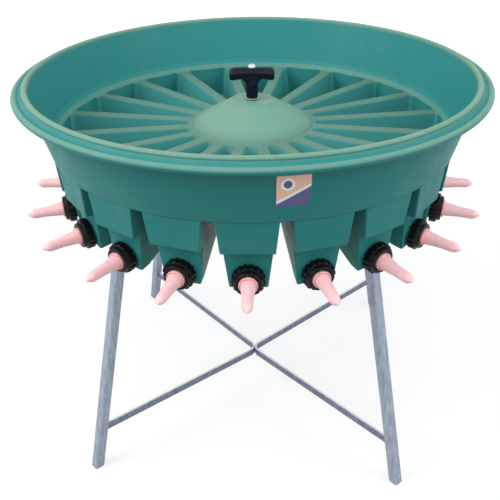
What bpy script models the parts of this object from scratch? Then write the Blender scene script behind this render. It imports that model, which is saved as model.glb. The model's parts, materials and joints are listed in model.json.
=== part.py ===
# Multi-teat milk feeder: a round one-piece moulded bowl with twenty milk compartments, each with a
# screwed-on rubber teat, clamped by a T-handle screw to a welded stand of four leaning legs.
# Units are metres, +Z is up, the origin lies on the floor under the bowl's axis.
# Compartment 1 faces -Y; the others follow towards +X every 18 degrees.

import math

import bmesh
import bpy
from mathutils import Matrix, Vector

# Fit between touching pieces
GAP = 0.0003

# Bowl: rim, dish and belt
COMPARTMENTS = 20
RIM_SEGMENTS = 3 * COMPARTMENTS
RIM_RADIUS = 0.550
RIM_BEAD_Z = 0.921
LIP_RADIUS = 0.519
LIP_TOP_Z = 0.941
BELT_TOP_RADIUS = 0.513
BELT_TOP_Z = 0.903
BELT_FOOT_RADIUS = 0.4815
BELT_FOOT_Z = 0.787
BELT_FOOT_DEPTH = 0.013
DISH_WALL_TOP_RADIUS = 0.509
DISH_WALL_FOOT_RADIUS = BELT_FOOT_RADIUS - 0.0035
DISH_WALL_FOOT_Z = 0.827
LEDGE_RADIUS = BELT_FOOT_RADIUS - 0.0155
RIB_TOP_Z = 0.806
PLATE_THICKNESS = 0.005

# Bowl: central cone
CONE_FOOT_RADIUS = 0.160
CONE_TOP_RADIUS = 0.0506
CONE_TOP_Z = 0.8638
CONE_WALL = 0.005

# Bowl: hanging compartments
WALL = 0.005
POD_TOP_Z = RIB_TOP_Z - PLATE_THICKNESS / 2.0
POD_TOP_RADIUS = BELT_FOOT_RADIUS - 0.0018
POD_FRONT_INSIDE_RADIUS = LEDGE_RADIUS - 0.0005
STEP_Z = 0.7126
STEP_RADIUS = BELT_FOOT_RADIUS - 0.0088
STEP_SET_BACK = 0.0225
STEP_SIDE_SET_BACK = 0.0006
POD_FOOT_Z = 0.6174
POD_FOOT_RADIUS = STEP_RADIUS - STEP_SET_BACK - 0.0052
POD_INNER_RADIUS = CONE_FOOT_RADIUS + 0.005
FLOOR_TURN_RADIUS = POD_FOOT_RADIUS - 0.0265
FLOOR_SLOPE = math.radians(21.6)
RIB_GAP_AT_TOP = 0.0222
RIB_GAP_AT_STEP = 0.0387
RIB_GAP_AT_FOOT = 0.0590

# Teat outlet, collar nut and teat
OUTLET_Z = 0.645
SPIGOT_RADIUS = 0.0255
SPIGOT_LENGTH = 0.0205
OUTLET_BORE_RADIUS = 0.011
THREAD_CLEARANCE = 0.0004
NUT_SIDES = 12
NUT_RADIUS = 0.0346
NUT_START = 0.0035
NUT_LUG_LENGTH = 0.0205
NUT_RING_RADIUS = 0.0290
NUT_RING_LENGTH = 0.0055
NUT_MOUTH_RADIUS = 0.0196
TEAT_SIDES = 8
TEAT_FLANGE_RADIUS = 0.0235
TEAT_FLANGE_THICKNESS = 0.0034
TEAT_COLLAR_RADIUS = 0.0200
TEAT_COLLAR_THICKNESS = 0.0030
TEAT_ROOT_RADIUS = 0.0168
TEAT_STEM_RADIUS = 0.0111
TEAT_BULB_RADIUS = 0.0113
TEAT_REACH = 0.0852
TEAT_BORE_RADIUS = 0.0110
TEAT_TIP_WALL = 0.020

# Sticker on the belt
LABEL_START = math.radians(6.1)
LABEL_END = math.radians(13.4)
LABEL_LOW_Z = 0.8265
LABEL_HIGH_Z = 0.8990
LABEL_THICKNESS = 0.0004

# Stand: four leaning legs and sloping arms of one square tube
STAND_YAW = math.radians(-3.1)
TUBE = 0.025
TUBE_WALL = 0.002
KNEE_RADIUS = POD_FOOT_RADIUS - 0.0458
LEG_LEAN = 0.238
ARM_SEAT = 0.0005
ARM_INNER_RADIUS = 0.0255
HUB_RADIUS = 0.025
HUB_HEIGHT = 0.052
HUB_BORE_RADIUS = 0.0075

# Stand: bent flat bars near the floor
BRACE_HEIGHT = 0.021
BRACE_THICKNESS = 0.006
BRACE_END_Z = 0.112
BRACE_BEND_Z = 0.094
BRACE_BEND_RADIUS = 0.025
BRACE_BEND_STEPS = 5

# T-handle clamp screw
ROD_RADIUS = 0.006
ROD_HOLE_CLEARANCE = 0.0015
SEAL_RADIUS = 0.0165
SEAL_THICKNESS = 0.002
WASHER_RADIUS = 0.0150
WASHER_THICKNESS = 0.002
GRIP_LENGTH = 0.108
GRIP_RADIUS = 0.0138
GRIP_RISE = 0.0630
GRIP_Z = CONE_TOP_Z + GRIP_RISE
STEM_RADIUS = 0.0131
STEM_BLEND = 0.014
CAP_RADIUS = 0.0092
CAP_HEIGHT = 0.0085
HUB_NUT_ACROSS_FLATS = 0.019
HUB_NUT_HEIGHT = 0.010

SECTOR = 2.0 * math.pi / COMPARTMENTS
HALF_SECTOR = SECTOR / 2.0


def clear_scene():
    for item in list(bpy.data.objects):
        bpy.data.objects.remove(item, do_unlink=True)


def make_material(name, colour, roughness, metallic=0.0):
    material = bpy.data.materials.new(name)
    material.use_nodes = True
    shader = material.node_tree.nodes["Principled BSDF"]
    shader.inputs["Base Color"].default_value = (*colour, 1.0)
    shader.inputs["Roughness"].default_value = roughness
    shader.inputs["Metallic"].default_value = metallic
    material.diffuse_color = (*colour, 1.0)
    return material


def add_object(name, mesh_data, material=None, smooth_angle=None):
    mesh = bpy.data.meshes.new(name)
    mesh_data.to_mesh(mesh)
    mesh_data.free()
    if smooth_angle is not None:
        mesh.shade_smooth()
        mesh.set_sharp_from_angle(angle=math.radians(smooth_angle))
    item = bpy.data.objects.new(name, mesh)
    bpy.context.scene.collection.objects.link(item)
    if material is not None:
        mesh.materials.append(material)
    return item


def make_cutter(name, mesh_data):
    item = add_object(name, mesh_data)
    item.hide_render = True
    item.display_type = "WIRE"
    return item


def add_boolean(target, cutter, operation):
    modifier = target.modifiers.new(cutter.name, "BOOLEAN")
    modifier.operation = operation
    modifier.solver = "EXACT"
    modifier.object = cutter


def outward(mesh_data):
    bmesh.ops.recalc_face_normals(mesh_data, faces=mesh_data.faces)
    if mesh_data.calc_volume(signed=True) < 0.0:
        bmesh.ops.reverse_faces(mesh_data, faces=mesh_data.faces)
    return mesh_data


def lathe(profile, sides, start=0.0):
    # A closed (radius, z) outline turned about Z; points with radius 0 become one vertex.
    data = bmesh.new()
    rings = []
    for radius, z in profile:
        if radius < 1e-9:
            rings.append([data.verts.new((0.0, 0.0, z))] * sides)
            continue
        ring = []
        for step in range(sides):
            angle = start + 2.0 * math.pi * step / sides
            ring.append(data.verts.new((radius * math.cos(angle), radius * math.sin(angle), z)))
        rings.append(ring)
    for index, ring in enumerate(rings):
        following = rings[(index + 1) % len(rings)]
        for step in range(sides):
            turn = (step + 1) % sides
            corners = [ring[step], ring[turn], following[turn], following[step]]
            unique = list(dict.fromkeys(corners))
            if len(unique) > 2:
                data.faces.new(unique)
    return outward(data)


def facing_out(azimuth):
    # Turns local +X to the outward direction at an azimuth counted from -Y towards +X.
    return Matrix.Rotation(azimuth - math.pi / 2.0, 4, "Z")


def compartment_azimuth(index):
    return SECTOR * index


def merge(pieces):
    # Joins (mesh data, matrix) pairs, which do not touch, into one mesh.
    data = bmesh.new()
    for piece, matrix in pieces:
        mesh = bpy.data.meshes.new("piece")
        piece.to_mesh(mesh)
        piece.free()
        mesh.transform(matrix)
        data.from_mesh(mesh)
        bpy.data.meshes.remove(mesh)
    return data


# Bowl

def belt_radius(z):
    share = (z - BELT_FOOT_Z) / (BELT_TOP_Z - BELT_FOOT_Z)
    return BELT_FOOT_RADIUS + share * (BELT_TOP_RADIUS - BELT_FOOT_RADIUS)


def bowl_profile():
    bead = RIM_RADIUS
    bead_z = RIM_BEAD_Z
    lip = LIP_RADIUS
    top = LIP_TOP_Z
    plate_under = RIB_TOP_Z - PLATE_THICKNESS
    cone_under = CONE_TOP_Z - CONE_WALL
    hole = ROD_RADIUS + ROD_HOLE_CLEARANCE
    return [
        (BELT_FOOT_RADIUS, BELT_FOOT_Z),
        (BELT_TOP_RADIUS, BELT_TOP_Z),
        (bead - 0.014, bead_z - 0.010),
        (bead - 0.003, bead_z - 0.006),
        (bead, bead_z),
        (bead - 0.005, bead_z + 0.008),
        (bead - 0.013, bead_z + 0.004),
        (lip + 0.011, top - 0.017),
        (lip + 0.007, top - 0.006),
        (lip, top),
        (lip - 0.006, top - 0.004),
        (DISH_WALL_TOP_RADIUS, top - 0.012),
        (DISH_WALL_FOOT_RADIUS, DISH_WALL_FOOT_Z),
        (LEDGE_RADIUS, RIB_TOP_Z),
        (CONE_FOOT_RADIUS, RIB_TOP_Z),
        (CONE_TOP_RADIUS, CONE_TOP_Z),
        (hole, CONE_TOP_Z),
        (hole, cone_under),
        (CONE_TOP_RADIUS - 0.001, cone_under),
        (CONE_FOOT_RADIUS - 0.006, plate_under),
        (BELT_FOOT_RADIUS - BELT_FOOT_DEPTH, plate_under),
        (BELT_FOOT_RADIUS - BELT_FOOT_DEPTH, BELT_FOOT_Z),
    ]


def blend(z, low, high):
    (low_z, low_value), (high_z, high_value) = low, high
    return low_value + (high_value - low_value) * (z - low_z) / (high_z - low_z)


def upper_gap(z):
    return blend(z, (STEP_Z, RIB_GAP_AT_STEP), (RIB_TOP_Z, RIB_GAP_AT_TOP))


def lower_gap(z):
    gap_under_step = RIB_GAP_AT_STEP + 2.0 * STEP_SIDE_SET_BACK
    return blend(z, (POD_FOOT_Z, RIB_GAP_AT_FOOT), (STEP_Z, gap_under_step))


def upper_front(z):
    return blend(z, (STEP_Z, STEP_RADIUS), (POD_TOP_Z, POD_TOP_RADIUS))


def lower_front(z):
    return blend(z, (POD_FOOT_Z, POD_FOOT_RADIUS), (STEP_Z, STEP_RADIUS - STEP_SET_BACK))


def floor_z(radius):
    # Level behind the front wall, then rising towards the bowl's middle.
    return POD_FOOT_Z + max(FLOOR_TURN_RADIUS - radius, 0.0) * math.tan(FLOOR_SLOPE)


def half_width(radius, gap):
    return radius * math.tan(HALF_SECTOR) - gap / 2.0 / math.cos(HALF_SECTOR)


def wedge(side_profile, gap_at, inset=0.0):
    # A compartment solid: its (radius, z) side outline between two drafted side planes.
    data = bmesh.new()
    sides = []
    for sign in (1.0, -1.0):
        corners = []
        for radius, z in side_profile:
            width = half_width(radius, gap_at(z)) - inset / math.cos(HALF_SECTOR)
            corners.append(data.verts.new((radius, sign * width, z)))
        sides.append(corners)
        data.faces.new(corners)
    count = len(side_profile)
    for index in range(count):
        turn = (index + 1) % count
        data.faces.new([sides[0][index], sides[0][turn], sides[1][turn], sides[1][index]])
    return outward(data)


def upper_profile(inset, top):
    inner = POD_INNER_RADIUS + inset
    low = STEP_Z + inset
    rise = inset / math.cos(FLOOR_SLOPE)
    floor_meets = FLOOR_TURN_RADIUS - (low - rise - POD_FOOT_Z) / math.tan(FLOOR_SLOPE)
    inner_floor = floor_z(inner) + rise
    front = POD_FRONT_INSIDE_RADIUS if inset else None
    outline = [(front or upper_front(top), top), (front or upper_front(low), low)]
    if inner_floor > low:
        outline.append((floor_meets, low))
    return [*outline, (inner, max(inner_floor, low)), (inner, top)]


def lower_profile(inset, top):
    # Where the floor is still under the top at the compartment's inner end, it reaches that end.
    inner = POD_INNER_RADIUS + inset
    rise = inset / math.cos(FLOOR_SLOPE)
    turn = FLOOR_TURN_RADIUS + (rise - inset) / math.tan(FLOOR_SLOPE)
    floor_meets = FLOOR_TURN_RADIUS - (top - rise - POD_FOOT_Z) / math.tan(FLOOR_SLOPE)
    inner_floor = floor_z(inner) + rise
    inner_end = [(inner, inner_floor), (inner, top)] if inner_floor < top else [(floor_meets, top)]
    return [
        (lower_front(top) - inset, top),
        (POD_FOOT_RADIUS - inset, POD_FOOT_Z + inset),
        (turn, POD_FOOT_Z + inset),
        *inner_end,
    ]


def front_tilt():
    return math.atan2(STEP_RADIUS - STEP_SET_BACK - POD_FOOT_RADIUS, STEP_Z - POD_FOOT_Z)


def outlet_matrix(index):
    # Local +Z is the outlet's axis, starting on the compartment's front face.
    place = Matrix.Translation((lower_front(OUTLET_Z), 0.0, OUTLET_Z))
    tilt = Matrix.Rotation(math.pi / 2.0 + front_tilt(), 4, "Y")
    return facing_out(compartment_azimuth(index)) @ place @ tilt


def ring_of(make_piece, matrix_of):
    return merge([(make_piece(), matrix_of(index)) for index in range(COMPARTMENTS)])


def at_compartment(index):
    return facing_out(compartment_azimuth(index))


def build_bowl(material):
    first_corner = HALF_SECTOR / 3.0 - math.pi / 2.0
    bowl = add_object("milk_bowl", lathe(bowl_profile(), RIM_SEGMENTS, first_corner), material, 35)
    join_depth = 0.0005
    above_plate = RIB_TOP_Z + 0.006
    wall_depth = 2.0 * WALL
    steps = [
        ("upper_outside", "UNION", at_compartment,
         lambda: wedge(upper_profile(0.0, POD_TOP_Z), upper_gap)),
        ("lower_outside", "UNION", at_compartment,
         lambda: wedge(lower_profile(0.0, STEP_Z + join_depth), lower_gap)),
        ("spigots", "UNION", outlet_matrix,
         lambda: lathe([(0.0, -WALL / 2.0), (SPIGOT_RADIUS, -WALL / 2.0),
                        (SPIGOT_RADIUS, SPIGOT_LENGTH), (0.0, SPIGOT_LENGTH)], NUT_SIDES)),
        ("upper_inside", "DIFFERENCE", at_compartment,
         lambda: wedge(upper_profile(WALL, above_plate), upper_gap, WALL)),
        ("lower_inside", "DIFFERENCE", at_compartment,
         lambda: wedge(lower_profile(WALL, STEP_Z + WALL + join_depth), lower_gap, WALL)),
        ("outlet_bores", "DIFFERENCE", outlet_matrix,
         lambda: lathe([(0.0, -wall_depth), (OUTLET_BORE_RADIUS, -wall_depth),
                        (OUTLET_BORE_RADIUS, 2.0 * SPIGOT_LENGTH), (0.0, 2.0 * SPIGOT_LENGTH)],
                       TEAT_SIDES)),
    ]
    for name, operation, matrix_of, make_piece in steps:
        add_boolean(bowl, make_cutter(name, ring_of(make_piece, matrix_of)), operation)
    return bowl


def build_label(material):
    # A thin film on the faceted belt, folded where two facets meet.
    angles = [LABEL_START, HALF_SECTOR, LABEL_END]
    segment = 2.0 * math.pi / RIM_SEGMENTS
    data = bmesh.new()
    layers = []
    for lift in (GAP, GAP + LABEL_THICKNESS):
        grid = []
        for z in (LABEL_LOW_Z, LABEL_HIGH_Z):
            row = []
            for angle in angles:
                off_centre = angle - segment * round(angle / segment)
                across = math.cos(segment / 2.0) / math.cos(off_centre)
                radius = belt_radius(z) * across + lift
                row.append(data.verts.new((radius * math.sin(angle), -radius * math.cos(angle), z)))
            grid.append(row)
        layers.append(grid)
    count = len(angles)
    for grid in layers:
        for step in range(count - 1):
            data.faces.new([grid[0][step], grid[0][step + 1], grid[1][step + 1], grid[1][step]])
    loop = [(0, step) for step in range(count)] + [(1, step) for step in reversed(range(count))]
    for index, (row, step) in enumerate(loop):
        next_row, next_step = loop[(index + 1) % len(loop)]
        data.faces.new([layers[0][row][step], layers[0][next_row][next_step],
                        layers[1][next_row][next_step], layers[1][row][step]])
    return add_object("belt_label", outward(data), material)


# Teats and collar nuts

def nut_profile():
    bore = SPIGOT_RADIUS + THREAD_CLEARANCE
    lip_start = SPIGOT_LENGTH + TEAT_FLANGE_THICKNESS + 2.0 * GAP
    lug_end = NUT_START + NUT_LUG_LENGTH
    ring_end = lug_end + NUT_RING_LENGTH
    return [
        (bore, NUT_START),
        (NUT_RADIUS, NUT_START),
        (NUT_RADIUS, lug_end),
        (NUT_RING_RADIUS, lug_end),
        (NUT_RING_RADIUS, ring_end),
        (NUT_MOUTH_RADIUS, ring_end),
        (NUT_MOUTH_RADIUS, lip_start),
        (bore, lip_start),
    ]


def teat_profile():
    start = SPIGOT_LENGTH + GAP
    neck = start + TEAT_FLANGE_THICKNESS
    collar = NUT_START + NUT_LUG_LENGTH + NUT_RING_LENGTH + GAP
    root = collar + TEAT_COLLAR_THICKNESS
    tip = collar + TEAT_REACH
    neck_radius = NUT_MOUTH_RADIUS * math.cos(math.pi / NUT_SIDES) - 2.0 * GAP
    return [
        (TEAT_BORE_RADIUS, start),
        (TEAT_FLANGE_RADIUS, start),
        (TEAT_FLANGE_RADIUS, neck),
        (neck_radius, neck),
        (neck_radius, collar),
        (TEAT_COLLAR_RADIUS, collar),
        (TEAT_COLLAR_RADIUS, root),
        (TEAT_ROOT_RADIUS, root),
        (TEAT_STEM_RADIUS, tip - 0.034),
        (TEAT_BULB_RADIUS, tip - 0.018),
        (TEAT_BULB_RADIUS - 0.0035, tip - 0.007),
        (0.0, tip),
        (0.0, tip - TEAT_TIP_WALL),
    ]


def build_outlets(nut_material, teat_material):
    nut_mesh = None
    teat_mesh = None
    for index in range(COMPARTMENTS):
        number = f"{index + 1:02d}"
        if nut_mesh is None:
            nut = add_object(f"collar_nut_{number}", lathe(nut_profile(), NUT_SIDES),
                             nut_material, 40)
            teat = add_object(f"teat_{number}", lathe(teat_profile(), TEAT_SIDES),
                              teat_material, 40)
            nut_mesh = nut.data
            teat_mesh = teat.data
        else:
            nut = bpy.data.objects.new(f"collar_nut_{number}", nut_mesh)
            teat = bpy.data.objects.new(f"teat_{number}", teat_mesh)
            bpy.context.scene.collection.objects.link(nut)
            bpy.context.scene.collection.objects.link(teat)
        nut.matrix_world = outlet_matrix(index)
        teat.matrix_world = outlet_matrix(index)


# Stand

def stand_turn(index):
    return facing_out(STAND_YAW + math.pi / 4.0 + math.pi / 2.0 * index)


def arm_top_z(radius):
    # The arm's upper face runs just under the sloping compartment floors.
    return floor_z(radius) - ARM_SEAT


def square_tube(path_normal_cuts, direction_from, direction_to):
    # A square tube between two end planes, each given as (point, normal), with its sides
    # parallel to the local XZ plane.
    axis = (direction_to - direction_from).normalized()
    across = Vector((0.0, 1.0, 0.0))
    side = axis.cross(across).normalized()
    data = bmesh.new()
    loops = []
    for half in (TUBE / 2.0, TUBE / 2.0 - TUBE_WALL):
        for point, normal in path_normal_cuts:
            loop = []
            for a, b in ((1, 1), (-1, 1), (-1, -1), (1, -1)):
                corner = direction_from + side * (a * half) + across * (b * half)
                along = (point - corner).dot(normal) / axis.dot(normal)
                loop.append(data.verts.new(corner + axis * along))
            loops.append(loop)
    outer_start, outer_end, inner_start, inner_end = loops
    for step in range(4):
        turn = (step + 1) % 4
        data.faces.new([outer_start[step], outer_start[turn], outer_end[turn], outer_end[step]])
        data.faces.new([inner_start[step], inner_start[turn], inner_end[turn], inner_end[step]])
        data.faces.new([outer_start[step], outer_start[turn], inner_start[turn], inner_start[step]])
        data.faces.new([outer_end[step], outer_end[turn], inner_end[turn], inner_end[step]])
    return outward(data)


def leg_radius(z):
    return KNEE_RADIUS + LEG_LEAN * (arm_centre_z(KNEE_RADIUS) - z)


def arm_centre_z(radius):
    return arm_top_z(radius) - TUBE / 2.0 / math.cos(FLOOR_SLOPE)


def build_stand(material, nut_material):
    # The centre lines of a leg and its arm meet at the knee.
    corner = Vector((KNEE_RADIUS, 0.0, arm_centre_z(KNEE_RADIUS)))
    foot = Vector((leg_radius(0.0), 0.0, 0.0))
    inner_end = Vector((ARM_INNER_RADIUS, 0.0, arm_centre_z(ARM_INNER_RADIUS)))
    leg_axis = (corner - foot).normalized()
    arm_axis = (inner_end - corner).normalized()
    mitre = (leg_axis + arm_axis).normalized()
    flat = Vector((0.0, 0.0, 1.0))
    upright = Vector((1.0, 0.0, 0.0))
    for index in range(4):
        leg = square_tube([(foot, flat), (corner - mitre * GAP / 2.0, mitre)], foot, corner)
        arm = square_tube([(corner + mitre * GAP / 2.0, mitre), (inner_end, upright)],
                          corner, inner_end)
        for name, data in (("leg", leg), ("top_arm", arm)):
            item = add_object(f"{name}_{index + 1}", data, material)
            item.matrix_world = stand_turn(index)
    hub_middle = inner_end.z
    hub_top = hub_middle + HUB_HEIGHT / 2.0
    hub_low = hub_middle - HUB_HEIGHT / 2.0
    add_object("stand_hub", lathe([
        (HUB_BORE_RADIUS, hub_low), (HUB_RADIUS, hub_low),
        (HUB_RADIUS, hub_top), (HUB_BORE_RADIUS, hub_top)], 24), material, 40)
    hub_nut_top = hub_low - GAP
    nut_radius = HUB_NUT_ACROSS_FLATS / 2.0 / math.cos(math.pi / 6.0)
    add_object("captive_nut", prism_with_hole(nut_radius, 6, ROD_RADIUS + GAP, 12,
                                              hub_nut_top - HUB_NUT_HEIGHT, hub_nut_top),
               nut_material)
    return hub_nut_top


def prism_with_hole(radius, sides, bore, bore_sides, low, high):
    data = bmesh.new()
    rings = []
    for z in (low, high):
        for ring_radius, count in ((radius, sides), (bore, bore_sides)):
            ring = []
            for step in range(count):
                angle = 2.0 * math.pi * step / count
                ring.append(data.verts.new((ring_radius * math.cos(angle),
                                            ring_radius * math.sin(angle), z)))
            rings.append(ring)
    for outer, inner in ((rings[0], rings[1]), (rings[2], rings[3])):
        edges = []
        for ring in (outer, inner):
            for step in range(len(ring)):
                edges.append(data.edges.new((ring[step], ring[(step + 1) % len(ring)])))
        share = len(inner) // len(outer)
        for step in range(len(outer)):
            turn = (step + 1) % len(outer)
            inner_run = [inner[(step * share + offset) % len(inner)] for offset in range(share + 1)]
            data.faces.new([outer[turn], outer[step]] + inner_run)
    for low_ring, high_ring in ((rings[0], rings[2]), (rings[1], rings[3])):
        count = len(low_ring)
        for step in range(count):
            turn = (step + 1) % count
            data.faces.new([low_ring[step], low_ring[turn], high_ring[turn], high_ring[step]])
    return outward(data)


def brace_path(first_leg):
    # Centre line of one bar: from a leg, round a bend beside the stand's middle, to the next leg.
    inner_face = leg_radius(BRACE_END_Z) - TUBE / 2.0 / math.cos(math.atan(LEG_LEAN))
    end_radius = inner_face - GAP
    ends = [stand_turn(index) @ Vector((end_radius, 0.0, BRACE_END_Z))
            for index in (first_leg, first_leg + 1)]
    centre = BRACE_THICKNESS / 2.0 + GAP / 2.0 + BRACE_BEND_RADIUS
    across = centre - end_radius * math.cos(math.pi / 4.0)
    along = end_radius * math.sin(math.pi / 4.0)
    half_turn = math.atan2(along, across) - math.acos(BRACE_BEND_RADIUS / math.hypot(across, along))
    step = 2.0 * half_turn / BRACE_BEND_STEPS
    corner_radius = BRACE_BEND_RADIUS / math.cos(step / 2.0)
    middle = facing_out(STAND_YAW + math.pi / 2.0 * (first_leg + 1))
    bends = []
    for index in range(BRACE_BEND_STEPS + 1):
        angle = step * index - half_turn
        bends.append(middle @ Vector((centre - corner_radius * math.cos(angle),
                                      corner_radius * math.sin(angle), BRACE_BEND_Z)))
    return [ends[0], *bends, ends[1]]


def build_braces(material):
    for number, first_leg in ((1, 0), (2, 2)):
        path = brace_path(first_leg)
        data = bmesh.new()
        loops = []
        for index, point in enumerate(path):
            before = path[index] - path[index - 1] if index > 0 else path[1] - path[0]
            after = path[index + 1] - path[index] if index < len(path) - 1 else before
            before = Vector((before.x, before.y, 0.0)).normalized()
            after = Vector((after.x, after.y, 0.0)).normalized()
            heading = (before + after).normalized()
            side = Vector((-heading.y, heading.x, 0.0))
            reach = BRACE_THICKNESS / 2.0 / max(side.dot(Vector((-after.y, after.x, 0.0))), 0.5)
            rise = Vector((0.0, 0.0, BRACE_HEIGHT / 2.0))
            if index in (0, len(path) - 1):
                # The end face leans with the leg that it is welded to.
                radial = Vector((point.x, point.y, 0.0)).normalized()
                rise -= radial * (LEG_LEAN * BRACE_HEIGHT / 2.0)
            loops.append([data.verts.new(point + side * reach + rise),
                          data.verts.new(point - side * reach + rise),
                          data.verts.new(point - side * reach - rise),
                          data.verts.new(point + side * reach - rise)])
        for first, second in zip(loops, loops[1:]):
            for step in range(4):
                turn = (step + 1) % 4
                data.faces.new([first[step], first[turn], second[turn], second[step]])
        data.faces.new(loops[0])
        data.faces.new(loops[-1])
        add_object(f"floor_brace_{number}", outward(data), material)


# T-handle clamp screw

def build_handle(grip_material, steel_material, rubber_material, hub_nut_top):
    hole = ROD_RADIUS + ROD_HOLE_CLEARANCE
    seal_low = CONE_TOP_Z + GAP
    seal_top = seal_low + SEAL_THICKNESS
    add_object("apex_seal", lathe([(hole, seal_low), (SEAL_RADIUS, seal_low),
                                   (SEAL_RADIUS, seal_top), (hole, seal_top)], 24),
               rubber_material, 40)
    washer_low = seal_top + GAP
    washer_top = washer_low + WASHER_THICKNESS
    add_object("clamp_washer", lathe([(hole, washer_low), (WASHER_RADIUS, washer_low),
                                      (WASHER_RADIUS, washer_top), (hole, washer_top)], 24),
               steel_material, 40)
    stem_low = washer_top + GAP
    grip_top = GRIP_Z + GRIP_RADIUS
    rod_bore = ROD_RADIUS + GAP
    grip = add_object("t_handle_grip", turned_grip(), grip_material, 40)
    stem = make_cutter("stem_form", lathe([
        (0.0, stem_low), (STEM_RADIUS, stem_low),
        (STEM_RADIUS, GRIP_Z - GRIP_RADIUS - STEM_BLEND),
        (STEM_RADIUS + 0.003, GRIP_Z - GRIP_RADIUS - STEM_BLEND / 3.0),
        (STEM_RADIUS + 0.0085, GRIP_Z - GRIP_RADIUS + 0.002),
        (0.0, GRIP_Z)], 20))
    add_boolean(grip, stem, "UNION")
    seat_cut = make_cutter("cap_seat", lathe([
        (0.0, grip_top - 0.0012), (CAP_RADIUS + 0.001, grip_top - 0.0012),
        (CAP_RADIUS + 0.001, grip_top + 0.01), (0.0, grip_top + 0.01)], 20))
    add_boolean(grip, seat_cut, "DIFFERENCE")
    bore_cut = make_cutter("rod_bore", lathe([
        (0.0, stem_low - 0.01), (rod_bore, stem_low - 0.01),
        (rod_bore, grip_top + 0.01), (0.0, grip_top + 0.01)], 16))
    add_boolean(grip, bore_cut, "DIFFERENCE")
    rod_low = hub_nut_top - HUB_NUT_HEIGHT
    cap_low = grip_top - 0.0012 + GAP
    rod_top = cap_low + CAP_HEIGHT * 0.55
    add_object("clamp_rod", lathe([
        (0.0, rod_low), (ROD_RADIUS - 0.001, rod_low), (ROD_RADIUS, rod_low + 0.001),
        (ROD_RADIUS, rod_top), (0.0, rod_top)], 12), steel_material, 40)
    cap_top = cap_low + CAP_HEIGHT
    add_object("dome_nut", lathe([
        (rod_bore, cap_low), (CAP_RADIUS, cap_low), (CAP_RADIUS, cap_low + CAP_HEIGHT * 0.45),
        (CAP_RADIUS * 0.82, cap_low + CAP_HEIGHT * 0.78), (CAP_RADIUS * 0.45, cap_top - 0.0005),
        (0.0, cap_top), (0.0, rod_top + GAP), (rod_bore, rod_top + GAP)], 16),
        steel_material, 40)


def turned_grip():
    # The cross bar: a round bar with gently drooping, rounded ends.
    half = GRIP_LENGTH / 2.0
    data = lathe([
        (0.0, -half), (GRIP_RADIUS * 0.72, -half), (GRIP_RADIUS * 0.95, -half + 0.003),
        (GRIP_RADIUS, -half + 0.008), (GRIP_RADIUS, 0.0), (GRIP_RADIUS, half - 0.008),
        (GRIP_RADIUS * 0.95, half - 0.003), (GRIP_RADIUS * 0.72, half), (0.0, half)], 16)
    turn = Matrix.Translation((0.0, 0.0, GRIP_Z)) @ Matrix.Rotation(math.pi / 2.0, 4, "Y")
    bmesh.ops.transform(data, matrix=turn, verts=data.verts)
    return data


def build_feeder():
    clear_scene()
    green = make_material("moulded_green", (0.050, 0.215, 0.205), 0.45)
    black = make_material("black_nylon", (0.012, 0.012, 0.014), 0.40)
    pink = make_material("pink_rubber", (0.830, 0.420, 0.400), 0.50)
    galvanised = make_material("galvanised_steel", (0.420, 0.470, 0.530), 0.45, 0.6)
    bright = make_material("bright_steel", (0.700, 0.710, 0.720), 0.25, 0.9)
    rubber = make_material("black_rubber", (0.020, 0.020, 0.020), 0.70)
    paper = make_material("label_film", (0.750, 0.520, 0.390), 0.50)
    build_bowl(green)
    build_label(paper)
    build_outlets(black, pink)
    hub_nut_top = build_stand(galvanised, bright)
    build_braces(galvanised)
    build_handle(black, bright, rubber, hub_nut_top)


build_feeder()
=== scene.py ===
# Looks of the multi-teat milk feeder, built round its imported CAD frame.
# Metres, +Z up, origin on the floor under the bowl's axis. Compartment 1 faces -Y, and the
# others follow towards +X every 18 degrees.

import json
import math

import bmesh
import bpy
from mathutils import Matrix, Vector


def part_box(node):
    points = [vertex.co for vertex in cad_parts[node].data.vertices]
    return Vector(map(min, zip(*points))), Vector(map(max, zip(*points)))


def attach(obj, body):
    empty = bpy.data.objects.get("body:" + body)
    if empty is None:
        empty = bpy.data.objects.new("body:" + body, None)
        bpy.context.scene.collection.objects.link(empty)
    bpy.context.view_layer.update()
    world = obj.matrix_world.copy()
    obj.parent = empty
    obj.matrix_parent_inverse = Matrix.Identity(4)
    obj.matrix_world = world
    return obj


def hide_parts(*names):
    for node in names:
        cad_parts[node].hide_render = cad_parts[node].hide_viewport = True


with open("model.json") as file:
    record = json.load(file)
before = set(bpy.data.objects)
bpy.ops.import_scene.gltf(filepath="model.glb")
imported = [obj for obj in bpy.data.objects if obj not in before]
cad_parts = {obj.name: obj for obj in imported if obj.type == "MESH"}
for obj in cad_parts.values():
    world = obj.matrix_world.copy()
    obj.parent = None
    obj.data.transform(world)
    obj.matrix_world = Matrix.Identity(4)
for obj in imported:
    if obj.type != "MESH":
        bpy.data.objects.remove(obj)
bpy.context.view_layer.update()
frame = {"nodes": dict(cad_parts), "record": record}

# Camera, solved from the photograph as a 500 x 500 frame
CAMERA_PLACE = (0.0400, -1.6130, 1.4143)
CAMERA_YAW = math.radians(-1.7861)
CAMERA_PITCH = math.radians(31.1728)
CAMERA_ROLL = math.radians(0.813)
CAMERA_LENS_MM = 49.744
CAMERA_SENSOR_MM = 36.0

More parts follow.
